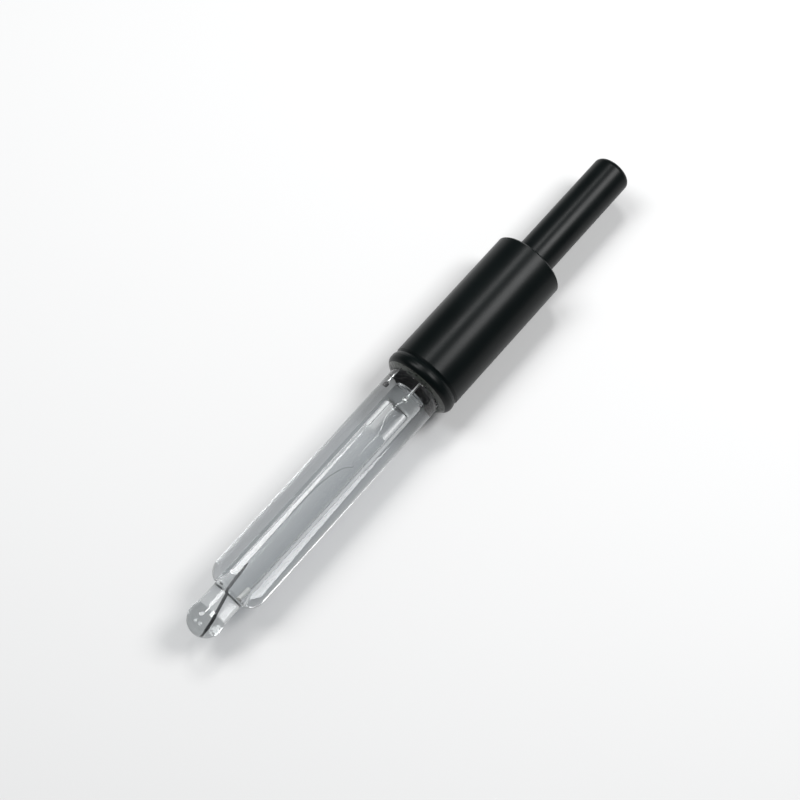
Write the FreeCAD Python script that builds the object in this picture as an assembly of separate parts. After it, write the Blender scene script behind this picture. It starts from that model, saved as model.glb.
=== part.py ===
import FreeCAD, Part
import math
import os

# Glass combination pH electrode, lying along X.
# The origin is the centre of the cap's mouth, where the glass shaft leaves the seal ring.
# -X points along the shaft to the sensing bulb, +X through the cap to the cable inlet.
# All sizes are in millimetres.

# ---- Glass shaft: the outer jacket, closed at the bottom onto the neck
shaft_diameter = 12.0
shaft_wall = 1.0
shaft_reach = 55.0          # mouth of the cap to the end of the shoulder
shaft_socket = 13.5         # length of glass held inside the cap
shoulder_radius = 2.95      # outer rounding of the closed end
shoulder_slope = 30.0       # degrees, from straight across to the glass's slope down to the neck
chamber_bevel = 1.2         # inner corner of the closed end
fused_ring = 0.3            # glass run in between the shoulder and the neck
seat_depth = 0.25           # how much the end inside the cap is ground down, all round

# ---- Inner stem: a tube that widens to the neck below the shoulder
stem_diameter = 5.2
stem_wall = 0.7
stem_start = 1.5            # mouth of the cap to the stem's closed top
neck_diameter = 6.7
neck_wall = 0.7
flare_length = 2.5          # where the stem widens, just above the shoulder

# ---- Sensing bulb
bulb_swell = 0.35           # how far the bulb stands out beyond the neck, all round
bulb_wall = 0.45
bulb_reach = 9.9            # shoulder to the tip of the bulb

# ---- Glass bead that closes the stem's top round the lead
seal_bead_length = 4.1
seal_bead_inset = 0.5       # below the stem's rim

# ---- Porous ceramic pin through the shoulder
junction_diameter = 0.9
junction_length = 3.2
junction_angle = -42.0      # degrees about X, from +Z towards +Y

# ---- Measuring wire, from the weld inside the bead down into the bulb
lead_diameter = 0.4
weld_diameter = 0.9
weld_length = 1.1
weld_depth = 2.0            # below the stem's top
silver_diameter = 0.3
chlorided_diameter = 0.4
coating_height = 6.8        # shoulder to the top of the dark coating
wire_tip_gap = 1.1          # bulb's tip to the wire's end

# The wire's hand-set bends. Each is a share of the run, a share of the room that the
# bore leaves it off the axis, and the direction in degrees about X, from +Z towards +Y.
# The first run is from the glass bead to the coating, the second from there to the wire's end.
silver_bends = [
    (0.015, 0.37, 62),
    (0.06, 0.38, 66),
    (0.11, 0.12, 262),
    (0.15, 0.26, 250),
    (0.32, 0.25, 262),
    (0.345, 0.55, 268),
    (0.40, 0.16, 40),
    (0.565, 0.62, 84),
    (1.00, 0.60, 78),
]
chlorided_bends = [
    (0.28, 0.39, 74),
    (0.48, 0.05, 60),
    (0.69, 0.20, 260),
    (0.83, 0.30, 258),
    (1.00, 0.76, 258),
]

# ---- Reference wire in the outer chamber
reference_angle = 78.0      # degrees about X, from +Z towards +Y
reference_depth = 3.0       # mouth of the cap to the end of the bare lead
element_diameter = 0.9
element_length = 1.0

# ---- Liquids
buffer_level = 12.5         # mouth of the cap to the top of the inner buffer

# ---- Cap
cap_diameter = 15.85
cap_length = 36.4           # mouth to the cap's end face
cap_edge_bevel = 0.35
cap_top_wall = 2.0
cap_ledge = 0.6             # inward step that the shaft's end seats on
socket_clearance = 0.1      # between the shaft and the cap's bore
bead_height = 0.12          # bead above the barrel
bead_width = 2.8            # mouth to the groove
bead_crown = 0.5            # length of the bead's top
mouth_radius = 1.4          # rounding of the bead down to the mouth
groove_width = 1.0
groove_depth = 0.25
mouth_seal_width = 1.35     # radial width of the seal ring
mouth_seal_rise = 0.45      # how far the ring climbs the glass in front of the bead
mouth_seal_depth = 1.4      # mouth of the cap to the back of the ring

# ---- Stopper and resin
stopper_recess = 1.5        # mouth of the cap to the stopper's lower face
stopper_length = 6.0

# ---- Cable sleeve
sleeve_diameter = 8.5
sleeve_length = 28.6        # cap's end face to the sleeve's end
sleeve_end_radius = 1.2
sleeve_clearance = 0.05     # between the sleeve and the hole in the cap's end wall
sleeve_flange_width = 0.9   # radial step that holds the sleeve in the cap
sleeve_flange_length = 2.0
cable_bore_diameter = 5.2
bore_edge_bevel = 0.4

# ---- Joints to the cable's conductors, in the resin
ferrule_diameter = 1.3
ferrule_length = 5.0
ferrule_grip = 2.5          # length of lead inside a ferrule
signal_joint_height = 22.0  # mouth of the cap to the signal ferrule
reference_joint_height = 17.0
insulator_wall = 0.35
insulator_overlap = 1.5     # tube beyond each end of the ferrule

# ---- Derived sizes
shaft_r = shaft_diameter / 2
seat_r = shaft_r - seat_depth
chamber_r = shaft_r - shaft_wall
stem_r = stem_diameter / 2
stem_bore_r = stem_r - stem_wall
neck_r = neck_diameter / 2
neck_bore_r = neck_r - neck_wall
bulb_r = neck_r + bulb_swell
bulb_bore_r = bulb_r - bulb_wall
cap_r = cap_diameter / 2
bead_r = cap_r + bead_height
seal_r = shaft_r + mouth_seal_width
crown_x = mouth_seal_rise + mouth_radius
socket_r = seat_r + socket_clearance
cavity_r = socket_r - cap_ledge
sleeve_r = sleeve_diameter / 2
cable_r = cable_bore_diameter / 2
ferrule_r = ferrule_diameter / 2

shoulder_x = -shaft_reach
floor_x = shoulder_x + shaft_wall
stem_top_x = -stem_start
bulb_tip_x = shoulder_x - bulb_reach
bulb_x = bulb_tip_x + bulb_r
# The neck runs into the sphere where the sphere is as wide as the neck.
neck_end_x = bulb_x + math.sqrt(bulb_r ** 2 - neck_r ** 2)
bead_top_x = stem_top_x - seal_bead_inset
bead_end_x = bead_top_x - seal_bead_length
weld_x = stem_top_x - weld_depth
flare_x = floor_x + flare_length
coating_x = shoulder_x + coating_height
wire_end_x = bulb_tip_x + wire_tip_gap
stopper_top_x = stopper_recess + stopper_length
cap_ceiling_x = cap_length - cap_top_wall
flange_x = cap_ceiling_x - sleeve_flange_length
sleeve_end_x = cap_length + sleeve_length
reference_r = (stem_r + chamber_r) / 2
junction_r = (neck_r + chamber_r) / 2

X_AXIS = FreeCAD.Vector(1, 0, 0)
Z_AXIS = FreeCAD.Vector(0, 0, 1)
SAME_POINT = 1e-6


# ---- Shape helpers
def point(x, radius):
    """A point of a turned profile: place along the axis, and distance from it."""
    return FreeCAD.Vector(x, radius, 0)


def turned(steps):
    """The solid that a closed profile sweeps round the X axis.

    Each step is (x, radius) for a straight line to that point, or
    (middle, end) as two such pairs for an arc through the middle to the end.
    """
    here = point(*steps[0])
    edges = []
    for step in steps[1:] + [steps[0]]:
        if isinstance(step[0], tuple):
            there = point(*step[1])
            edges.append(Part.Arc(here, point(*step[0]), there).toShape())
        else:
            there = point(*step)
            if there.distanceToPoint(here) > SAME_POINT:
                edges.append(Part.makeLine(here, there))
        here = there
    return Part.Face(Part.Wire(edges)).revolve(FreeCAD.Vector(), X_AXIS, 360)


def corner(centre, radius, start, end):
    """An arc step about centre, from one angle to another, in degrees.

    0 degrees is +X and 90 degrees is away from the axis.
    """
    def on_arc(angle):
        a = math.radians(angle)
        return (centre[0] + radius * math.cos(a), centre[1] + radius * math.sin(a))

    return (on_arc((start + end) / 2), on_arc(end))


def rod(start_x, end_x, radius, offset=0.0, angle=0.0):
    """A round bar parallel to X, at an offset from the axis in the given direction."""
    a = math.radians(angle)
    low = min(start_x, end_x)
    base = FreeCAD.Vector(low, offset * math.sin(a), offset * math.cos(a))
    return Part.makeCylinder(radius, abs(end_x - start_x), base, X_AXIS)


def beyond(place, facing, size):
    """A block on the far side of the plane through place that faces the given way."""
    block = Part.makeBox(2 * size, 2 * size, 2 * size, FreeCAD.Vector(-size, -size, 0))
    block.Placement = FreeCAD.Placement(place, FreeCAD.Rotation(Z_AXIS, facing))
    return block


def bent_wire(points, diameter):
    """A round wire along straight runs, mitred where they meet."""
    corners = [FreeCAD.Vector(*p) for p in points]
    ways = [(b - a).normalize() for a, b in zip(corners, corners[1:])]
    overrun = diameter
    runs = []
    for i, way in enumerate(ways):
        start = corners[i] - way * overrun if i > 0 else corners[i]
        end = corners[i + 1] + way * overrun if way is not ways[-1] else corners[i + 1]
        run = Part.makeCylinder(diameter / 2, (end - start).Length, start, way)
        if i > 0:
            run = run.cut(beyond(corners[i], (ways[i - 1] + way) * -1, 2 * overrun))
        if way is not ways[-1]:
            run = run.cut(beyond(corners[i + 1], way + ways[i + 1], 2 * overrun))
        runs.append(run)
    return runs[0].fuse(runs[1:])


# ---- Glass
def stem_envelope():
    """The stem with its bore filled, from its top to the bulb."""
    return turned([
        (neck_end_x, 0),
        (neck_end_x, neck_r),
        (floor_x, neck_r),
        (flare_x, stem_r),
        (stem_top_x, stem_r),
        (stem_top_x, 0),
    ])


def stem_bore():
    return turned([
        (neck_end_x, 0),
        (neck_end_x, neck_bore_r),
        (floor_x, neck_bore_r),
        (flare_x, stem_bore_r),
        (stem_top_x, stem_bore_r),
        (stem_top_x, 0),
    ])


def ball_below_neck(radius, rim_r):
    """A sphere about the bulb's centre, cut off where the neck begins."""
    start = math.degrees(math.atan2(rim_r, neck_end_x - bulb_x))
    return turned([
        (neck_end_x, 0),
        (neck_end_x, rim_r),
        corner((bulb_x, 0), radius, start, 180),
    ])


def bulb_envelope():
    return ball_below_neck(bulb_r, neck_r)


def bulb_space():
    rim_r = math.sqrt(bulb_bore_r ** 2 - (neck_end_x - bulb_x) ** 2)
    return ball_below_neck(bulb_bore_r, rim_r)


def jacket_envelope():
    """The shaft as a solid bar, from its ground end to the glass run in at the neck.

    The full diameter ends at the cap's mouth, and narrows to the ground end
    just inside it, under the seal ring.
    """
    slope = math.radians(shoulder_slope)
    centre_r = shaft_r - shoulder_radius
    drop = centre_r + shoulder_radius * math.sin(slope) - neck_r - fused_ring
    run = shoulder_radius * math.cos(slope) + drop * math.tan(slope)
    centre = (shoulder_x + run, centre_r)
    return turned([
        (shaft_socket, 0),
        (shaft_socket, seat_r),
        (mouth_edge_x(), seat_r),
        (0, shaft_r),
        (centre[0], shaft_r),
        corner(centre, shoulder_radius, 90, 180 - shoulder_slope),
        (shoulder_x, neck_r + fused_ring),
        (shoulder_x - fused_ring, neck_r),
        (shoulder_x - fused_ring, 0),
    ])


def chamber():
    """The inside of the jacket, open at the top, with the stem's space included."""
    return turned([
        (shaft_socket, 0),
        (shaft_socket, chamber_r),
        (floor_x + chamber_bevel, chamber_r),
        (floor_x, chamber_r - chamber_bevel),
        (floor_x, 0),
    ])


def seal_bead():
    """Glass bead fused into the top of the stem."""
    return rod(bead_top_x, bead_end_x, stem_bore_r)


def junction():
    """Porous pin set flush in the shoulder, reaching up into the gel."""
    low = shoulder_x - junction_diameter
    high = shoulder_x + junction_length
    pin = rod(low, high, junction_diameter / 2, junction_r, junction_angle)
    return pin.common(jacket_envelope())


# ---- Wires
def route(start_x, end_x, bends, room):
    """Points of a bent wire. room(x) is how far off the axis the bore lets it lie."""
    points = []
    for share, off_axis, angle in bends:
        x = start_x + share * (end_x - start_x)
        a = math.radians(angle)
        radius = off_axis * room(x)
        points.append((x, radius * math.sin(a), radius * math.cos(a)))
    return points


def stem_room(x):
    return stem_bore_r - silver_diameter / 2


def lower_room(x):
    """Room for the coated wire: the stem's bore, then the neck's, then the bulb's."""
    if x > floor_x:
        return stem_bore_r - chlorided_diameter / 2
    if x > neck_end_x:
        return neck_bore_r - chlorided_diameter / 2
    return math.sqrt(bulb_bore_r ** 2 - (x - bulb_x) ** 2) - chlorided_diameter / 2


def wire_points():
    """Routes of the bare wire and of the coated wire that carries on from its end."""
    bare = [(weld_x, 0, 0)] + route(bead_end_x, coating_x, silver_bends, stem_room)
    coated = [bare[-1]] + route(coating_x, wire_end_x, chlorided_bends, lower_room)
    return bare, coated


def platinum_lead():
    top = signal_joint_height + ferrule_grip
    return rod(weld_x, top, lead_diameter / 2)


def weld():
    """Blob that joins the silver wire to the platinum lead."""
    half = weld_length / 2
    return rod(weld_x - half, weld_x + half, weld_diameter / 2)


def reference_lead():
    top = reference_joint_height + ferrule_grip
    return rod(-reference_depth, top, lead_diameter / 2, reference_r, reference_angle)


def reference_element():
    """Chlorided end of the reference lead."""
    end_x = -reference_depth - element_length
    return rod(end_x, -reference_depth, element_diameter / 2, reference_r, reference_angle)


def ferrule(height, offset=0.0, angle=0.0):
    return rod(height, height + ferrule_length, ferrule_r, offset, angle)


def joint_insulator():
    low = signal_joint_height - insulator_overlap
    high = signal_joint_height + ferrule_length + insulator_overlap
    return rod(low, high, ferrule_r + insulator_wall).cut(rod(low, high, ferrule_r))


# ---- Cap, seal, resin and sleeve
def mouth_edge_x():
    """Where the bead's rounding reaches the seal ring's outer radius."""
    rise = max(seal_r - (bead_r - mouth_radius), 0)
    return crown_x - math.sqrt(mouth_radius ** 2 - rise ** 2)


def cap():
    """Black head: barrel, groove, rounded bead, and the stepped bore for the glass."""
    edge_x = mouth_edge_x()
    centre = (crown_x, bead_r - mouth_radius)
    start_angle = math.degrees(math.atan2(seal_r - centre[1], edge_x - crown_x))
    hole_r = sleeve_r + sleeve_clearance
    return turned([
        (edge_x, seal_r),
        corner(centre, mouth_radius, start_angle, 90),
        (crown_x + bead_crown, bead_r),
        (bead_width, cap_r),
        (bead_width + groove_width / 2, cap_r - groove_depth),
        (bead_width + groove_width, cap_r),
        (cap_length - cap_edge_bevel, cap_r),
        (cap_length, cap_r - cap_edge_bevel),
        (cap_length, hole_r),
        (cap_ceiling_x, hole_r),
        (cap_ceiling_x, cavity_r),
        (shaft_socket, cavity_r),
        (shaft_socket, socket_r),
        (mouth_seal_depth, socket_r),
        (mouth_seal_depth, seal_r),
    ])


def mouth_seal():
    """Ring that fills the cap's mouth and slopes down to the glass in front of it."""
    return turned([
        (mouth_edge_x(), seat_r),
        (0, shaft_r),
        (mouth_edge_x(), seal_r),
        (mouth_seal_depth, seal_r),
        (mouth_seal_depth, seat_r),
    ])


def potting():
    """Resin above the stopper, inside the glass and the cap, up to the sleeve."""
    return turned([
        (stopper_top_x, 0),
        (stopper_top_x, chamber_r),
        (shaft_socket, chamber_r),
        (shaft_socket, cavity_r),
        (flange_x, cavity_r),
        (flange_x, 0),
    ])


def cable_sleeve():
    """Slim sleeve with a rounded end, held in the cap by its flange."""
    flange_r = sleeve_r + sleeve_flange_width
    end_round = min(sleeve_end_radius, 0.8 * (sleeve_r - cable_r))
    bevel = min(bore_edge_bevel, 0.9 * (sleeve_r - cable_r - end_round))
    return turned([
        (flange_x, cable_r),
        (flange_x, flange_r),
        (cap_ceiling_x, flange_r),
        (cap_ceiling_x, sleeve_r),
        (sleeve_end_x - end_round, sleeve_r),
        corner((sleeve_end_x - end_round, sleeve_r - end_round), end_round, 90, 0),
        (sleeve_end_x, cable_r + bevel),
        (sleeve_end_x - bevel, cable_r),
    ])


# ---- Assembly
def build():
    envelope = stem_envelope()
    bore = stem_bore()
    lead = platinum_lead()
    weld_blob = weld()
    bare, coated = wire_points()
    silver = bent_wire(bare, silver_diameter).cut(weld_blob)
    chlorided = bent_wire(coated, chlorided_diameter).cut(silver)
    ref_lead = reference_lead()
    ref_element = reference_element()
    pin = junction()
    signal_joint = ferrule(signal_joint_height)
    reference_joint = ferrule(reference_joint_height, reference_r, reference_angle)
    insulator = joint_insulator()

    gel_space = chamber().common(rod(shoulder_x, stopper_recess, shaft_r))
    stopper = rod(stopper_recess, stopper_top_x, chamber_r)
    liquid_space = bore.fuse(bulb_space()).common(rod(bulb_tip_x, -buffer_level, shaft_r))

    return {
        "outer_jacket": jacket_envelope().cut([chamber(), envelope, pin]),
        "inner_stem": envelope.cut(bore),
        "glass_bulb": bulb_envelope().cut(bulb_space()),
        "ceramic_junction": pin,
        "seal_bead": seal_bead().cut([lead, weld_blob, silver]),
        "platinum_lead": lead.cut(weld_blob),
        "weld_bead": weld_blob,
        "silver_wire": silver,
        "chlorided_wire": chlorided,
        "reference_lead": ref_lead,
        "reference_element": ref_element,
        "inner_buffer": liquid_space.cut([silver, chlorided]),
        "reference_gel": gel_space.cut([envelope, pin, lead, ref_lead, ref_element]),
        "chamber_stopper": stopper.cut([lead, ref_lead]),
        "mouth_seal": mouth_seal(),
        "cap": cap(),
        "potting": potting().cut([lead, ref_lead, signal_joint, reference_joint, insulator]),
        "signal_ferrule": signal_joint.cut(lead),
        "reference_ferrule": reference_joint.cut(ref_lead),
        "joint_insulator": insulator,
        "cable_sleeve": cable_sleeve(),
    }


os.makedirs("parts", exist_ok=True)
for name, shape in build().items():
    print(name, "valid" if shape.isValid() else "INVALID", len(shape.Solids), round(shape.Volume, 2))
    shape.exportStep("parts/" + name + ".step")
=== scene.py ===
import math

import bmesh
import bpy
from mathutils import Matrix, Vector, noise


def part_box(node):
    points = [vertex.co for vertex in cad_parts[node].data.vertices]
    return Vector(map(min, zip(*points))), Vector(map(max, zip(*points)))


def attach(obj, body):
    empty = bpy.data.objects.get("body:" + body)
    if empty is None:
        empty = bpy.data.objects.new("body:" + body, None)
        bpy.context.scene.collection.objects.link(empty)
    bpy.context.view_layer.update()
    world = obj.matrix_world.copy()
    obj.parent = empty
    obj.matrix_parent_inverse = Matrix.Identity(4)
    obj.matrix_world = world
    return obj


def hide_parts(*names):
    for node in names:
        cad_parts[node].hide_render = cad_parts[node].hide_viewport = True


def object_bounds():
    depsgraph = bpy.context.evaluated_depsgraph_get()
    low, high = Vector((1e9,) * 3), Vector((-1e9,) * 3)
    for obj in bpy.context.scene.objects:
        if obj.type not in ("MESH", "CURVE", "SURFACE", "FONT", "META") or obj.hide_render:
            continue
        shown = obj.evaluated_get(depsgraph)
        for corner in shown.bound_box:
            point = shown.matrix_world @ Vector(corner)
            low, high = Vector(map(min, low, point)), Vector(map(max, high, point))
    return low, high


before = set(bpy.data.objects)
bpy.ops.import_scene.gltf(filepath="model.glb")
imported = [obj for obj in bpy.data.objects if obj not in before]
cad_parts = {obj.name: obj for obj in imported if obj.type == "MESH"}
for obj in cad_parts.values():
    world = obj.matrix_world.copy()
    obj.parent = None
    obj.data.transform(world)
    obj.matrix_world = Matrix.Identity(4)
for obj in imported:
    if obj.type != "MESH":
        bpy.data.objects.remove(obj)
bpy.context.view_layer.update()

MM = 0.001
ROUND = 160              # segments round the axis of a turned piece
WIRE_ROUND = 20          # segments round a wire
SHARP = math.radians(35) # an edge that turns more than this stays crisp
TOUCH = 2e-6             # how near two places count as the same, in metres
GAP = 5e-6               # between two pieces that touch, in metres
LONG = 2 * MM            # a straight wall longer than this gets an extra ring near each end
BRACE = 0.004            # how near, as a share of the wall's length

# ---- Refractive indices of what the light crosses
AIR = 1.0
GLASS = 1.49
LIQUID = 1.336


# ---- Sizes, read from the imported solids
def radius(point):
    """Distance from the axis."""
    return math.hypot(point.y, point.z)


def corners(node):
    return [v.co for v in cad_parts[node].data.vertices]


def radii_at(node, x):
    """Smallest and largest distance from the axis of a node's points in one plane across it."""
    found = [radius(p) for p in corners(node) if abs(p.x - x) < TOUCH]
    return min(found), max(found)


def widest(node):
    return max(radius(p) for p in corners(node))


def ends_at(node, r):
    """Lowest and highest x of a node's points at one distance from the axis."""
    found = [p.x for p in corners(node) if abs(radius(p) - r) < TOUCH]
    return min(found), max(found)


RING_APART = 0.25 * MM   # corners of a bent wire that lie nearer than this along X are one ring


def centreline(node):
    """The points a bent wire runs through: the middles of the rings of its corners."""
    rings = []
    for p in sorted(corners(node), key=lambda p: p.x):
        if rings and p.x - rings[-1][-1].x < RING_APART:
            rings[-1].append(p)
        else:
            rings.append([p])
    return [sum(ring, Vector()) / len(ring) for ring in rings]


jacket_low, jacket_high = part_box("outer_jacket")
stem_low, stem_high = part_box("inner_stem")
bulb_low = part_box("glass_bulb")[0]
buffer_low, buffer_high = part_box("inner_buffer")
gel_low, gel_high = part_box("reference_gel")
bead_low, bead_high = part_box("seal_bead")
stopper_low, stopper_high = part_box("chamber_stopper")
lead_low, lead_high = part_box("platinum_lead")
weld_low, weld_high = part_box("weld_bead")
reference_low, reference_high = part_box("reference_lead")
element_low, element_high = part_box("reference_element")

shaft_r = radii_at("outer_jacket", 0)[1]
chamber_r, seat_r = radii_at("outer_jacket", jacket_high.x)
stem_bore_r, stem_r = radii_at("inner_stem", stem_high.x)
neck_bore_r, neck_r = radii_at("inner_stem", stem_low.x)
bulb_r = widest("glass_bulb")
bulb_bore_r = bulb_r - (buffer_low.x - bulb_low.x)
bulb_x = bulb_low.x + bulb_r
neck_end_x = stem_low.x
shaft_wall = shaft_r - chamber_r
stem_wall = stem_r - stem_bore_r
floor_x = gel_low.x                      # inside of the jacket's closed end
shoulder_x = floor_x - shaft_wall
fused_x = jacket_low.x                   # where the jacket's glass has run down to on the neck
flare_x = ends_at("inner_stem", stem_r)[0]
stem_top_x = stem_high.x
liquid_top_x = buffer_high.x
gel_top_x = gel_high.x
seal_r = widest("mouth_seal")
seal_edge_x = ends_at("mouth_seal", seal_r)[0]
seal_back_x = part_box("mouth_seal")[1].x
lead_r = widest("platinum_lead")
weld_r = widest("weld_bead")
silver_r = radii_at("silver_wire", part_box("silver_wire")[1].x)[0]


# ---- Profiles: lists of points in the (x, radius) plane
def arc(centre, size, start, end, steps):
    """Points of an arc, from one angle to another in degrees."""
    points = []
    for i in range(steps + 1):
        a = math.radians(start + (end - start) * i / steps)
        points.append((centre[0] + size * math.cos(a), centre[1] + size * math.sin(a)))
    return points


def bend(start, pull, end, steps):
    """Points of a smooth bend from start to end, drawn towards pull."""
    points = []
    for i in range(steps + 1):
        t = i / steps
        points.append(tuple(
            (1 - t) ** 2 * a + 2 * t * (1 - t) * b + t ** 2 * c
            for a, b, c in zip(start, pull, end)
        ))
    return points


def stretch(start_x, end_x, radius_at, steps):
    """Points along a wall whose radius is a function of x."""
    points = []
    for i in range(steps + 1):
        x = start_x + (end_x - start_x) * i / steps
        points.append((x, radius_at(x)))
    return points


def smooth_step(share):
    """0 up to a share of 0, 1 from a share of 1, with a soft change between them."""
    share = min(max(share, 0.0), 1.0)
    return share * share * (3 - 2 * share)


def smooth_max(a, b, run):
    """The larger of two lengths, with a soft change from one to the other."""
    return max(a, b) + max(run - abs(a - b), 0) ** 2 / (4 * run)


NECK_BLEND = 0.0003      # over which the neck swells into the bulb, in metres


def ball_r(x, size):
    """Radius at x of a ball round the bulb's centre."""
    return math.sqrt(max(size ** 2 - (x - bulb_x) ** 2, 0))


def outside_r(x):
    """Outside of the neck and the bulb that it swells into."""
    return smooth_max(neck_r, ball_r(x, bulb_r), NECK_BLEND)


def inside_r(x):
    """Inside of the neck and the bulb."""
    return smooth_max(neck_bore_r, ball_r(x, bulb_bore_r), NECK_BLEND)


def tube_r(x, thin, wide):
    """Radius of the stem at x: it widens to the neck just above the shoulder."""
    return wide + (thin - wide) * smooth_step((x - floor_x) / (flare_x - floor_x))


def stem_outside_r(x):
    return tube_r(x, stem_r, neck_r)


def stem_inside_r(x):
    return tube_r(x, stem_bore_r, neck_bore_r)


# ---- Meshes
def new_piece(name, mesh, materials):
    for material in materials:
        mesh.materials.append(material)
    piece = bpy.data.objects.new(name, mesh)
    bpy.context.scene.collection.objects.link(piece)
    return piece


def lathe(name, materials, sections, shake=None):
    """Turns a closed profile round the X axis.

    sections is a list of (material, points); each point is (x, radius), and the material
    holds up to the next section's first point. A radius of 0 makes a pole.
    shake(point) moves a corner of the turned mesh.
    """
    mesh = bpy.data.meshes.new(name)
    made = bmesh.new()
    profile = []
    skins = []
    for material, points in sections:
        index = materials.index(material)
        for point in points:
            if profile and math.dist(profile[-1], point) < TOUCH:
                skins[-1] = index
                continue
            if profile and math.dist(profile[-1], point) > LONG:
                start = profile[-1]
                for share in (BRACE, 1 - BRACE):
                    profile.append(tuple(a + (b - a) * share for a, b in zip(start, point)))
                    skins.append(skins[-1])
            profile.append(point)
            skins.append(index)
    rings = []
    for x, r in profile:
        around = 1 if r < TOUCH else ROUND
        ring = []
        for k in range(around):
            t = 2 * math.pi * k / ROUND
            place = Vector((x, r * math.sin(t), r * math.cos(t)))
            ring.append(made.verts.new(shake(place) if shake else place))
        rings.append(ring)
    for i, a in enumerate(rings):
        b = rings[(i + 1) % len(rings)]
        if len(a) == 1 and len(b) == 1:
            continue
        for k in range(ROUND):
            n = (k + 1) % ROUND
            loop = [a[k], a[n]] if len(a) > 1 else [a[0]]
            loop += [b[n], b[k]] if len(b) > 1 else [b[0]]
            face = made.faces.new(loop)
            face.smooth = True
            face.material_index = skins[i]
    bmesh.ops.recalc_face_normals(made, faces=made.faces)
    for edge in made.edges:
        if len(edge.link_faces) == 2 and edge.calc_face_angle() > SHARP:
            edge.smooth = False
    made.to_mesh(mesh)
    made.free()
    return new_piece(name, mesh, materials)


def straight(start_x, end_x, steps, beside=Vector()):
    """Evenly spaced points of a line along X, on the axis or beside it."""
    return [
        Vector((start_x + (end_x - start_x) * i / steps, beside.y, beside.z))
        for i in range(steps + 1)
    ]


def spline(points, steps):
    """A smooth line through the points."""
    line = []
    padded = [points[0] * 2 - points[1]] + points + [points[-1] * 2 - points[-2]]
    for a, b, c, d in zip(padded, padded[1:], padded[2:], padded[3:]):
        for i in range(steps):
            t = i / steps
            line.append((
                b * 2
                + (c - a) * t
                + (a * 2 - b * 5 + c * 4 - d) * t ** 2
                + (b * 3 - a - c * 3 + d) * t ** 3
            ) / 2)
    line.append(points[-1])
    return line


def wire(name, material, line, radii):
    """A round wire along a line of points, with one radius for each, and flat ends."""
    mesh = bpy.data.meshes.new(name)
    made = bmesh.new()
    first = (line[1] - line[0]).normalized()
    side = first.orthogonal().normalized()
    rings = []
    for i, place in enumerate(line):
        ahead = (line[min(i + 1, len(line) - 1)] - line[max(i - 1, 0)]).normalized()
        side = (side - ahead * side.dot(ahead)).normalized()
        other = ahead.cross(side)
        rings.append([
            made.verts.new(place + (side * math.cos(t) + other * math.sin(t)) * radii[i])
            for t in (2 * math.pi * k / WIRE_ROUND for k in range(WIRE_ROUND))
        ])
    for a, b in zip(rings, rings[1:]):
        for k in range(WIRE_ROUND):
            n = (k + 1) % WIRE_ROUND
            made.faces.new((a[k], a[n], b[n], b[k])).smooth = True
    made.faces.new(rings[0])
    made.faces.new(rings[-1])
    bmesh.ops.recalc_face_normals(made, faces=made.faces)
    made.to_mesh(mesh)
    made.free()
    return new_piece(name, mesh, (material,))


def enter(piece, slot, *nodes):
    """Puts a piece under the root body and hides the solids it stands for; slot is not used."""
    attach(piece, "root")
    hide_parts(*nodes)


# ---- Shader nodes
def new_material(name):
    material = bpy.data.materials.new(name)
    material.use_nodes = True
    tree = material.node_tree
    return material, tree, tree.nodes["Principled BSDF"]


def node(tree, kind, **settings):
    made = tree.nodes.new(kind)
    for key, value in settings.items():
        setattr(made, key, value)
    return made


def wander(tree, scale, detail):
    """A number that changes from place to place with a noise."""
    place = node(tree, "ShaderNodeTexCoord")
    made = node(tree, "ShaderNodeTexNoise")
    made.inputs["Scale"].default_value = scale
    made.inputs["Detail"].default_value = detail
    tree.links.new(place.outputs["Object"], made.inputs["Vector"])
    return made.outputs["Fac"]


def way_along(tree, start_x, end_x):
    """A number that goes from 0 to 1 between two places along X."""
    place = node(tree, "ShaderNodeTexCoord")
    parts = node(tree, "ShaderNodeSeparateXYZ")
    made = node(tree, "ShaderNodeMapRange")
    made.inputs["From Min"].default_value = start_x
    made.inputs["From Max"].default_value = end_x
    tree.links.new(place.outputs["Object"], parts.inputs["Vector"])
    tree.links.new(parts.outputs["X"], made.inputs["Value"])
    return made.outputs["Result"]


def spread(tree, source, low, high, start=0.3, end=0.7):
    """A colour that goes from low to high as the source goes from start to end."""
    ramp = node(tree, "ShaderNodeValToRGB")
    ramp.color_ramp.elements[0].position = start
    ramp.color_ramp.elements[1].position = end
    ramp.color_ramp.elements[0].color = list(low) + [1]
    ramp.color_ramp.elements[1].color = list(high) + [1]
    tree.links.new(source, ramp.inputs["Fac"])
    return ramp.outputs["Color"]


def between(tree, source, low, high):
    """A number that goes from low to high with the source."""
    made = node(tree, "ShaderNodeMapRange")
    made.inputs["To Min"].default_value = low
    made.inputs["To Max"].default_value = high
    tree.links.new(source, made.inputs["Value"])
    return made.outputs["Result"]


def add_way_through(tree, shader):
    """Lays a transparent shader over the first one; the mix's Fac is the share that it takes."""
    through = node(tree, "ShaderNodeBsdfTransparent")
    mix = node(tree, "ShaderNodeMixShader")
    tree.links.new(shader.outputs["BSDF"], mix.inputs[1])
    tree.links.new(through.outputs["BSDF"], mix.inputs[2])
    tree.links.new(mix.outputs["Shader"], tree.nodes["Material Output"].inputs["Surface"])
    return through, mix


# ---- Kinds of material
TINT_SCALE = 160.0                       # of the slow change in a clear body's tint
TINT_DETAIL = 2.0
SPARED = (0.0, 0.03, 0.035, 1)           # share of red, green and blue that a liquid doesn't absorb
BUMP_HEIGHT = 0.02 * MM


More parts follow.
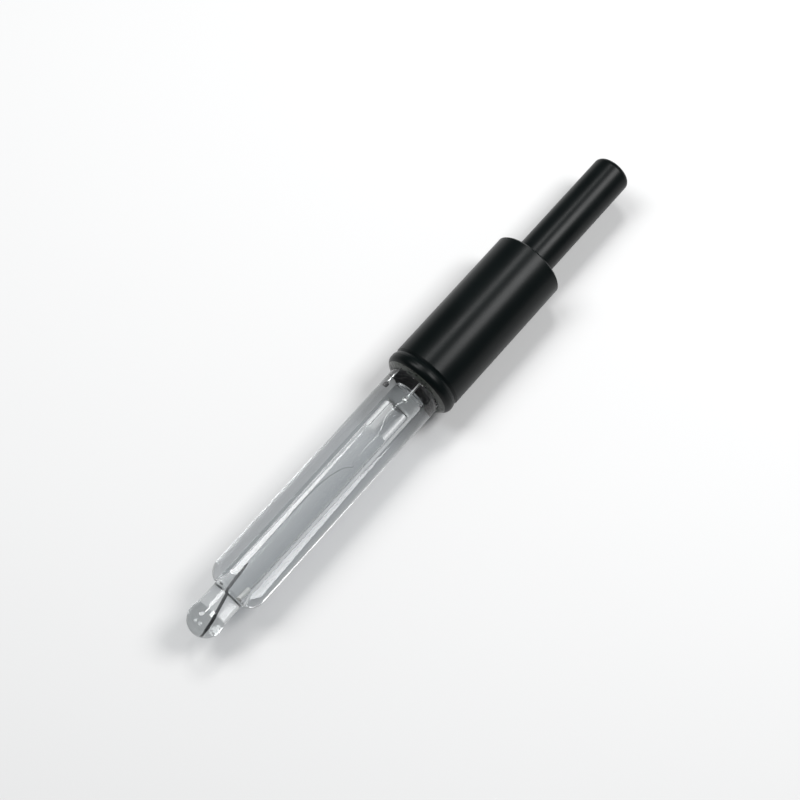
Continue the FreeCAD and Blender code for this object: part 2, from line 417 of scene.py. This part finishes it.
def clear(name, ior, low, high, passes, haze=0.0):
    """A clear boundary between two media; ior is the inner medium's index over the outer one's.

    Its tint wanders from low to high, and haze is the share of it that is milky. What lights
    matt surfaces, straight from a lamp or from around, goes through unbent, less what the
    colour passes takes away.
    """
    material, tree, shader = new_material(name)
    tint = spread(tree, wander(tree, TINT_SCALE, TINT_DETAIL), low, high)
    tree.links.new(tint, shader.inputs["Base Color"])
    shader.inputs["Roughness"].default_value = 0.0
    shader.inputs["IOR"].default_value = ior
    shader.inputs["Transmission Weight"].default_value = 1.0 - haze
    through, mix = add_way_through(tree, shader)
    through.inputs["Color"].default_value = list(passes) + [1]
    path = node(tree, "ShaderNodeLightPath")
    unbent = node(tree, "ShaderNodeMath", operation="MAXIMUM")
    tree.links.new(path.outputs["Is Shadow Ray"], unbent.inputs[0])
    tree.links.new(path.outputs["Is Diffuse Ray"], unbent.inputs[1])
    tree.links.new(unbent.outputs["Value"], mix.inputs["Fac"])
    return material


def matched(name, low, high, density=0.0):
    """A boundary between two media of the same index: it only tints what passes.

    density is how strongly the body behind it absorbs light, for each metre of the way.
    """
    material, tree, shader = new_material(name)
    tint = spread(tree, wander(tree, TINT_SCALE, TINT_DETAIL), low, high)
    tree.links.new(tint, shader.inputs["Base Color"])
    shader.inputs["IOR"].default_value = 1.0
    shader.inputs["Transmission Weight"].default_value = 1.0
    through, mix = add_way_through(tree, shader)
    tree.links.new(tint, through.inputs["Color"])
    mix.inputs["Fac"].default_value = 1.0
    if density:
        body = node(tree, "ShaderNodeVolumeAbsorption")
        body.inputs["Color"].default_value = SPARED
        body.inputs["Density"].default_value = density
        tree.links.new(body.outputs["Volume"], tree.nodes["Material Output"].inputs["Volume"])
    return material


def solid(
    name, low, high, roughness, scale,
    grain=0.0, grain_size=4000.0, metallic=0.0, ior=1.5, fade_x=None,
):
    """An opaque surface with a fine grain, whose gloss wanders between the two values of roughness.

    Its colour wanders from low to high too, or where fade_x gives two places along X, goes
    from low to high between them.
    """
    material, tree, shader = new_material(name)
    cloud = wander(tree, scale, detail=4.0)
    if fade_x:
        colour = spread(tree, way_along(tree, *fade_x), low, high, start=0.1, end=0.9)
    else:
        colour = spread(tree, cloud, low, high)
    tree.links.new(colour, shader.inputs["Base Color"])
    tree.links.new(between(tree, cloud, *roughness), shader.inputs["Roughness"])
    shader.inputs["Metallic"].default_value = metallic
    shader.inputs["IOR"].default_value = ior
    if grain:
        bump = node(tree, "ShaderNodeBump")
        bump.inputs["Strength"].default_value = grain
        bump.inputs["Distance"].default_value = BUMP_HEIGHT
        tree.links.new(wander(tree, grain_size, detail=2.0), bump.inputs["Height"])
        tree.links.new(bump.outputs["Normal"], shader.inputs["Normal"])
    return material


# ---- Glass and liquids
OUTER_LOW = (0.945, 0.955, 0.96)         # tint of the glass that faces the air
OUTER_HIGH = (0.965, 0.975, 0.98)
INNER_LOW = (0.98, 0.985, 0.985)         # tint of the glass inside the jacket
INNER_HIGH = (0.99, 0.995, 0.995)
MEMBRANE_LOW = (0.53, 0.55, 0.555)       # tint of the bulb's glass
MEMBRANE_HIGH = (0.59, 0.61, 0.615)
MATCHED_LOW = (0.985, 0.99, 0.99)        # tint where both sides bend the light alike
FUSED_HIGH = (0.995, 1.0, 1.0)
LIQUID_HIGH = (0.99, 0.995, 0.995)
OUTER_PASSES = (0.56, 0.575, 0.585)      # what an outer wall leaves of the light for the floor
INNER_PASSES = (0.97, 0.97, 0.975)
STEM_HAZE = 0.08
BEAD_HAZE = 0.25
GEL_DENSITY = 10.0
BUFFER_DENSITY = 5.0

glass_air = clear("glass_in_air", GLASS / AIR, OUTER_LOW, OUTER_HIGH, OUTER_PASSES)
glass_liquid = clear("glass_in_liquid", GLASS / LIQUID, INNER_LOW, INNER_HIGH, INNER_PASSES)
stem_liquid = clear("stem_in_liquid", GLASS / LIQUID, INNER_LOW, INNER_HIGH, INNER_PASSES, STEM_HAZE)
stem_air = clear("stem_in_air", GLASS / AIR, INNER_LOW, INNER_HIGH, INNER_PASSES)
bead_liquid = clear("bead_in_liquid", GLASS / LIQUID, INNER_LOW, INNER_HIGH, INNER_PASSES, BEAD_HAZE)
fused = matched("fused_glass", MATCHED_LOW, FUSED_HIGH)
gel_tint = matched("gel", MATCHED_LOW, LIQUID_HIGH, GEL_DENSITY)
buffer_tint = matched("buffer", MATCHED_LOW, LIQUID_HIGH, BUFFER_DENSITY)
membrane = clear("membrane_in_air", GLASS / AIR, MEMBRANE_LOW, MEMBRANE_HIGH, OUTER_PASSES)

# ---- Plastics, rubbers and resins
plastic = solid(
    "cap_plastic", (0.0012, 0.0026, 0.0027), (0.0022, 0.0040, 0.0041),
    roughness=(0.28, 0.36), scale=90.0, grain=0.22, ior=1.23,
)
rubber = solid(
    "sleeve_rubber", (0.0016, 0.0030, 0.0031), (0.0030, 0.0050, 0.0051),
    roughness=(0.30, 0.40), scale=110.0, grain=0.3, ior=1.24,
)
stopper_rubber = solid(
    "stopper_rubber", (0.002, 0.002, 0.0025), (0.006, 0.006, 0.0065),
    roughness=(0.25, 0.45), scale=700.0, grain=0.8, grain_size=1500.0,
)
potting_resin = solid(
    "potting_resin", (0.010, 0.010, 0.010), (0.022, 0.022, 0.022),
    roughness=(0.3, 0.5), scale=260.0, grain=0.2,
)
resin = solid(
    "seal_resin", (0.014, 0.017, 0.014), (0.055, 0.062, 0.052),
    roughness=(0.20, 0.38), scale=900.0, grain=0.9, grain_size=1400.0,
)
ptfe = solid(
    "ptfe", (0.72, 0.73, 0.71), (0.84, 0.84, 0.82),
    roughness=(0.4, 0.55), scale=700.0, grain=0.1,
)

# ---- Ceramic, metals and their coats
STAIN_REACH = 12 * MM                    # how far under the buffer's surface the silver is all dark

ceramic = solid(
    "porous_ceramic", (0.66, 0.66, 0.64), (0.82, 0.82, 0.80),
    roughness=(0.8, 0.95), scale=1500.0, grain=0.6, grain_size=9000.0,
)
tinned_brass = solid(
    "tinned_brass", (0.55, 0.47, 0.28), (0.74, 0.66, 0.44),
    roughness=(0.25, 0.4), scale=900.0, grain=0.2, metallic=1.0,
)
platinum = solid(
    "platinum", (0.78, 0.78, 0.78), (0.90, 0.90, 0.89),
    roughness=(0.30, 0.45), scale=2500.0, grain=0.15, metallic=1.0,
)
silver = solid(
    "silver", (0.74, 0.74, 0.73), (0.92, 0.92, 0.91),
    roughness=(0.16, 0.30), scale=2500.0, grain=0.15, metallic=1.0,
)
stained_silver = solid(
    "stained_silver", (0.86, 0.86, 0.85), (0.045, 0.045, 0.047),
    roughness=(0.2, 0.4), scale=2500.0, grain=0.15, metallic=1.0,
    fade_x=(liquid_top_x, liquid_top_x - STAIN_REACH),
)
chloride = solid(
    "silver_chloride", (0.010, 0.010, 0.011), (0.035, 0.034, 0.036),
    roughness=(0.6, 0.85), scale=3000.0, grain=0.7, grain_size=9000.0,
)

# ---- Opaque CAD pieces
for name, material in (
    ("cap", plastic),
    ("cable_sleeve", rubber),
    ("potting", potting_resin),
    ("ceramic_junction", ceramic),
    ("signal_ferrule", tinned_brass),
    ("reference_ferrule", tinned_brass),
    ("joint_insulator", ptfe),
):
    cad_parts[name].data.materials.clear()
    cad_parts[name].data.materials.append(material)

# ---- Glass jacket
SHOULDER_ROUND = 3.4 * MM

round_centre = (shoulder_x + SHOULDER_ROUND, shaft_r - SHOULDER_ROUND)
inner_round = SHOULDER_ROUND - shaft_wall
run_in_r = neck_r + (shoulder_x - fused_x)
shoulder_turn = 180 - math.degrees(math.asin((run_in_r - round_centre[1]) / SHOULDER_ROUND))
inner_turn = 180 - math.degrees(math.asin((neck_r + GAP - round_centre[1]) / inner_round))
shoulder = arc(round_centre, SHOULDER_ROUND, 90, shoulder_turn, steps=24)
floor = arc(round_centre, inner_round, inner_turn, 90, steps=20)
run_in = bend(shoulder[-1], (shoulder_x, neck_r), (fused_x, neck_r + GAP), steps=8)
jacket = lathe("jacket_glass", (glass_air, fused, glass_liquid), [
    (glass_air, [(jacket_high.x, chamber_r), (jacket_high.x, seat_r), (seal_edge_x, seat_r), (0, shaft_r)]),
    (glass_air, shoulder),
    (glass_air, run_in),
    (fused, [run_in[-1], floor[0]]),
    (glass_liquid, floor),
    (glass_liquid, [(jacket_high.x, chamber_r)]),
])
enter(jacket, "jacket_glass", "outer_jacket")

# ---- Inner stem, from its rounded top down outside to the neck and up again inside
rim = stem_wall / 2
floor_edge_x = floor[0][0]
stem = lathe("stem_glass", (stem_liquid, fused, stem_air, glass_air), [
    (stem_liquid, arc((stem_top_x - rim, stem_r - rim), rim, 0, 90, steps=6)),
    (stem_liquid, stretch(flare_x, floor_edge_x, stem_outside_r, steps=24)),
    (fused, [(floor_edge_x, neck_r), (fused_x, neck_r)]),
    (glass_air, stretch(fused_x, neck_end_x, outside_r, steps=24)),
    (fused, [(neck_end_x, outside_r(neck_end_x)), (neck_end_x, inside_r(neck_end_x))]),
    (stem_liquid, stretch(neck_end_x, floor_x, inside_r, steps=24)),
    (stem_liquid, stretch(floor_x, flare_x, stem_inside_r, steps=24)),
    (stem_liquid, [(flare_x, stem_bore_r), (liquid_top_x, stem_bore_r)]),
    (stem_air, [(liquid_top_x, stem_bore_r), (bead_low.x, stem_bore_r)]),
    (fused, [(bead_low.x, stem_bore_r), (bead_high.x, stem_bore_r)]),
    (stem_liquid, [(bead_high.x, stem_bore_r), (stem_top_x - rim, stem_bore_r)]),
])
enter(stem, "stem_glass", "inner_stem")

# ---- Bulb
joint_x = neck_end_x - GAP
bulb = lathe("bulb_glass", (membrane, fused, glass_liquid), [
    (fused, [(joint_x, inside_r(neck_end_x)), (joint_x, outside_r(neck_end_x))]),
    (membrane, stretch(joint_x, bulb_x, outside_r, steps=20)),
    (membrane, arc((bulb_x, 0), bulb_r, 90, 180, steps=48)),
    (glass_liquid, arc((bulb_x, 0), bulb_bore_r, 180, 90, steps=48)),
    (glass_liquid, stretch(bulb_x, joint_x, inside_r, steps=20)),
])
enter(bulb, "membrane_glass", "glass_bulb")

# ---- Glass bead that closes the stem, drawn out a little round the lead
DRAWN_OUT = 0.4                          # how far, as a share of the stem's bore
DRAWN_FULL = 0.8                         # the higher, the fuller the drawn-out end

bead_edge_x = bead_low.x + DRAWN_OUT * stem_bore_r
bead_side_r = stem_bore_r - GAP
underside = bend(
    (bead_edge_x, bead_side_r), (bead_low.x, DRAWN_FULL * stem_bore_r), (bead_low.x, 0), steps=16,
)
bead = lathe("bead_glass", (bead_liquid, fused, stem_air), [
    (bead_liquid, [(bead_high.x, 0), (bead_high.x, bead_side_r)]),
    (fused, [(bead_high.x, bead_side_r), (bead_edge_x, bead_side_r)]),
    (stem_air, underside),
])
enter(bead, "bead_glass", "seal_bead")

# ---- Stopper, with sealant that has crept down the glass round it
CREEP = 2.6 * MM                         # how far it has crept on the low side
CREEP_LEAST = 0.15                       # share of that on the high side
CREEP_FULL = 0.7                         # below 1, more of the way round has crept far
CREEP_NOISE = ((0.5, 500), (0.3, 1500))  # height and scale of each part of its ragged edge
STOPPER_RINGS = 12                       # across its underside


def rough(place, parts):
    """A sum of noises at a place; parts gives the height and the scale of each."""
    return sum(height * noise.noise(place * scale) for height, scale in parts)


def crept(place):
    """Moves the stopper's underside down, most at the glass and on the low side, with a ragged edge."""
    if place.x > stopper_low.x + TOUCH:
        return place
    reach = (radius(place) / chamber_r) ** 2
    down = 0.5 - 0.5 * place.z / max(radius(place), TOUCH)
    round_share = CREEP_LEAST + (1 - CREEP_LEAST) * down ** CREEP_FULL
    ragged = 1 + rough(place, CREEP_NOISE)
    return place - Vector((CREEP * reach * round_share * ragged, 0, 0))


side_r = chamber_r - GAP
stopper = lathe("stopper", (stopper_rubber,), [
    (stopper_rubber, [(stopper_low.x, chamber_r * i / STOPPER_RINGS) for i in range(STOPPER_RINGS)]),
    (stopper_rubber, [(stopper_low.x, side_r), (stopper_high.x, side_r), (stopper_high.x, 0)]),
], crept)
enter(stopper, "stopper_rubber", "chamber_stopper")

# ---- Gel
gel = lathe("gel", (gel_tint,), [
    (gel_tint, [(gel_top_x - GAP, 0), (gel_top_x - GAP, chamber_r - GAP)]),
    (gel_tint, arc(round_centre, inner_round - GAP, 90, inner_turn, steps=20)),
    (gel_tint, stretch(floor_edge_x + GAP, flare_x, lambda x: stem_outside_r(x) + GAP, steps=24)),
    (gel_tint, [(stem_top_x + GAP, stem_r + GAP), (stem_top_x + GAP, 0)]),
])
enter(gel, "gel_electrolyte", "reference_gel")

# ---- Buffer, which climbs the stem's wall a little
CLIMB = 0.35                             # how far, as a share of the stem's bore
MENISCUS_FLAT = 0.75                     # the higher, the flatter the middle of its surface

meniscus_x = liquid_top_x - CLIMB * stem_bore_r
meniscus = bend(
    (meniscus_x, 0),
    (meniscus_x, MENISCUS_FLAT * stem_bore_r),
    (liquid_top_x, stem_bore_r - GAP),
    steps=14,
)
liquid = lathe("buffer", (buffer_tint,), [
    (buffer_tint, meniscus),
    (buffer_tint, stretch(flare_x, floor_x, lambda x: stem_inside_r(x) - GAP, steps=24)),
    (buffer_tint, stretch(floor_x, bulb_x, lambda x: inside_r(x) - GAP, steps=40)),
    (buffer_tint, arc((bulb_x, 0), bulb_bore_r - GAP, 90, 180, steps=48)),
])
enter(liquid, "buffer_liquid", "inner_buffer")

# The renderer follows a ray through 8 clear surfaces, and the two liquids would use up 6 of them.
# The glass that holds them already bends the light.
for clear_body in (gel, liquid):
    clear_body.visible_transmission = False
    clear_body.visible_shadow = False

# ---- Platinum lead
lead_line = straight(lead_low.x, lead_high.x, steps=40)
lead_wire = wire("lead_wire", platinum, lead_line, [lead_r] * len(lead_line))
enter(lead_wire, "platinum", "platinum_lead")

# ---- Weld drop
WELD_STEPS = 16
WELD_LEAST = 0.6                         # of the lead's radius, so that its ends stay inside the lead

weld_line = straight(weld_low.x, weld_high.x, WELD_STEPS)
weld_radii = [
    max(weld_r * math.sqrt(1 - (2 * i / WELD_STEPS - 1) ** 2), WELD_LEAST * lead_r)
    for i in range(WELD_STEPS + 1)
]
weld_drop = wire("weld_drop", silver, weld_line, weld_radii)
enter(weld_drop, "silver", "weld_bead")

# ---- Silver wire
silver_line = spline(centreline("silver_wire"), steps=14)
measuring_wire = wire("measuring_wire", stained_silver, silver_line, [silver_r] * len(silver_line))
enter(measuring_wire, "silver", "silver_wire")

# ---- Chloride coat on the silver wire's end, thin at both ends and uneven between them
COAT_END = 0.62                          # share of its full radius at either end
COAT_TAPER = 3.0                         # how fast it thickens from there
COAT_WAVES = 0.10                        # share of its radius by which it is uneven
COAT_BEAT = (0.9, 0.37)                  # what each point adds to the angles of its two waves
NEAR_END = 0.4 * MM                      # corners nearer to the last middle than this are its last ring

coated_middles = centreline("chlorided_wire")
coated_reaches = [(p - coated_middles[-1]).length for p in corners("chlorided_wire")]
coated_r = max(reach for reach in coated_reaches if reach < NEAR_END)
coated_line = spline(coated_middles, steps=18)


def coat_r(i):
    """Radius of the coat at a point of its line."""
    last = len(coated_line) - 1
    taper = min(1.0, COAT_END + COAT_TAPER * min(i, last - i) / last)
    waves = 1 + COAT_WAVES * math.sin(i * COAT_BEAT[0]) * math.sin(i * COAT_BEAT[1])
    return min(coated_r * taper * waves, coated_r)


coated_radii = [coat_r(i) for i in range(len(coated_line))]
measuring_coat = wire("measuring_coat", chloride, coated_line, coated_radii)
enter(measuring_coat, "silver_chloride", "chlorided_wire")

# ---- Reference lead
reference_mid = (reference_low + reference_high) / 2
reference_line = straight(reference_low.x, reference_high.x, steps=30, beside=reference_mid)
reference_wire = wire("reference_wire", silver, reference_line, [lead_r] * len(reference_line))
enter(reference_wire, "silver", "reference_lead")

# ---- Chloride coat on the reference lead's end
ELEMENT_STEPS = 12
ELEMENT_END = 0.7                        # share of its full radius at either end
ELEMENT_TAPER = 0.15                     # what each step from there adds to that share

element_r = (element_high.z - element_low.z) / 2
element_line = straight(element_low.x, element_high.x, ELEMENT_STEPS, beside=reference_mid)
element_radii = [
    element_r * min(1.0, ELEMENT_END + ELEMENT_TAPER * min(i, ELEMENT_STEPS - i))
    for i in range(ELEMENT_STEPS + 1)
]
reference_coat = wire("reference_coat", chloride, element_line, element_radii)
enter(reference_coat, "silver_chloride", "reference_element")

# ---- Seal ring: resin run in by hand
SWELL = 0.024 * MM                       # how far its face is pulled out from the cap
LUMP = 0.16 * MM                         # height of its lumps
LUMP_NOISE = ((1.0, 420), (0.5, 1300))   # height and scale of each of their parts
LUMP_EDGE = 0.12                         # the face's share next to the glass where they get no lower


def uneven(place):
    """Lumps in the resin's face; its outer edge and what lies nearer the axis than the face stay."""
    share = (radius(place) - shaft_r) / (seal_r - shaft_r)
    if place.x > seal_edge_x + TOUCH or share < -0.01 or share > 0.99:
        return place
    rise = LUMP * rough(place, LUMP_NOISE) * math.sin(math.pi * max(share, LUMP_EDGE))
    return place + Vector((rise, 0, 0))


ring = lathe("seal_ring", (resin,), [
    (resin, [(seal_edge_x, seat_r), (0, shaft_r)]),
    (resin, bend((0, shaft_r), (-SWELL, (shaft_r + seal_r) / 2), (seal_edge_x, seal_r), steps=14)),
    (resin, [(seal_back_x, seal_r), (seal_back_x, seat_r)]),
], uneven)
enter(ring, "seal_resin", "mouth_seal")

# ---- Camera
AZIMUTH = -49.44
ELEVATION = 69.81
DISTANCE = 0.2989
AIM = Vector((-3.69, 0.744, 0.178)) * MM
LENS = 67.3


def camera():
    a = math.radians(AZIMUTH)
    e = math.radians(ELEVATION)
    back = Vector((math.sin(a) * math.cos(e), -math.cos(a) * math.cos(e), math.sin(e)))
    data = bpy.data.cameras.new("camera")
    data.lens = LENS
    data.clip_start = 0.01
    made = bpy.data.objects.new("camera", data)
    bpy.context.scene.collection.objects.link(made)
    made.location = AIM + back * DISTANCE
    made.rotation_mode = "QUATERNION"
    made.rotation_quaternion = (-back).to_track_quat("-Z", "Y")
    bpy.context.scene.camera = made


camera()

# ---- Floor
FLOOR_HALF = 1.6
FLOOR_LOW = (0.715, 0.715, 0.715)
FLOOR_HIGH = (0.73, 0.73, 0.73)


def ground():
    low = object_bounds()[0].z - GAP
    signs = ((-1, -1), (1, -1), (1, 1), (-1, 1))
    mesh = bpy.data.meshes.new("floor")
    mesh.from_pydata([(x * FLOOR_HALF, y * FLOOR_HALF, low) for x, y in signs], [], [(0, 1, 2, 3)])
    paper = solid("floor_paper", FLOOR_LOW, FLOOR_HIGH, roughness=(0.7, 0.8), scale=3.0, ior=1.2)
    piece = new_piece("floor", mesh, (paper,))


ground()

# ---- Lamps
LAMP_DISTANCE = 0.50


def panel(name, at, along, across, wide, tall, roll, radiance):
    """A softbox that faces the point at on the axis. along is its lean towards +X and across
    its lean from straight up towards +Y, in degrees; wide runs along X before the roll."""
    target = Vector((at, 0, 0))
    p = math.radians(along)
    q = math.radians(across)
    aim = Vector((math.sin(p), math.cos(p) * math.sin(q), math.cos(p) * math.cos(q)))
    data = bpy.data.lights.new(name, "AREA")
    data.shape = "RECTANGLE"
    data.size = wide
    data.size_y = tall
    data.energy = radiance * math.pi * wide * tall
    made = bpy.data.objects.new(name, data)
    bpy.context.scene.collection.objects.link(made)
    side = (Vector((1, 0, 0)) - aim * aim.x).normalized()
    turn = Matrix((side, aim.cross(side), aim)).transposed().to_4x4()
    turn = turn @ Matrix.Rotation(math.radians(roll), 4, "Z")
    made.matrix_world = Matrix.Translation(target + aim * LAMP_DISTANCE) @ turn


panel("key_light", at=-0.080, along=4, across=28, wide=0.26, tall=0.17, roll=-40, radiance=10.0)
panel("side_light", at=0.030, along=25, across=-23, wide=0.19, tall=0.19, roll=0, radiance=17.0)
panel("cap_light", at=0.022, along=22, across=20, wide=0.13, tall=0.08, roll=0, radiance=19.0)

# ---- Light from all around
SKY = (0.93, 0.97, 1, 1)
SKY_STRENGTH = 0.13

world = bpy.data.worlds.new("world")
bpy.context.scene.world = world
world.use_nodes = True
background = world.node_tree.nodes["Background"]
background.inputs["Color"].default_value = SKY
background.inputs["Strength"].default_value = SKY_STRENGTH

bpy.context.scene.view_settings.view_transform = "Standard"
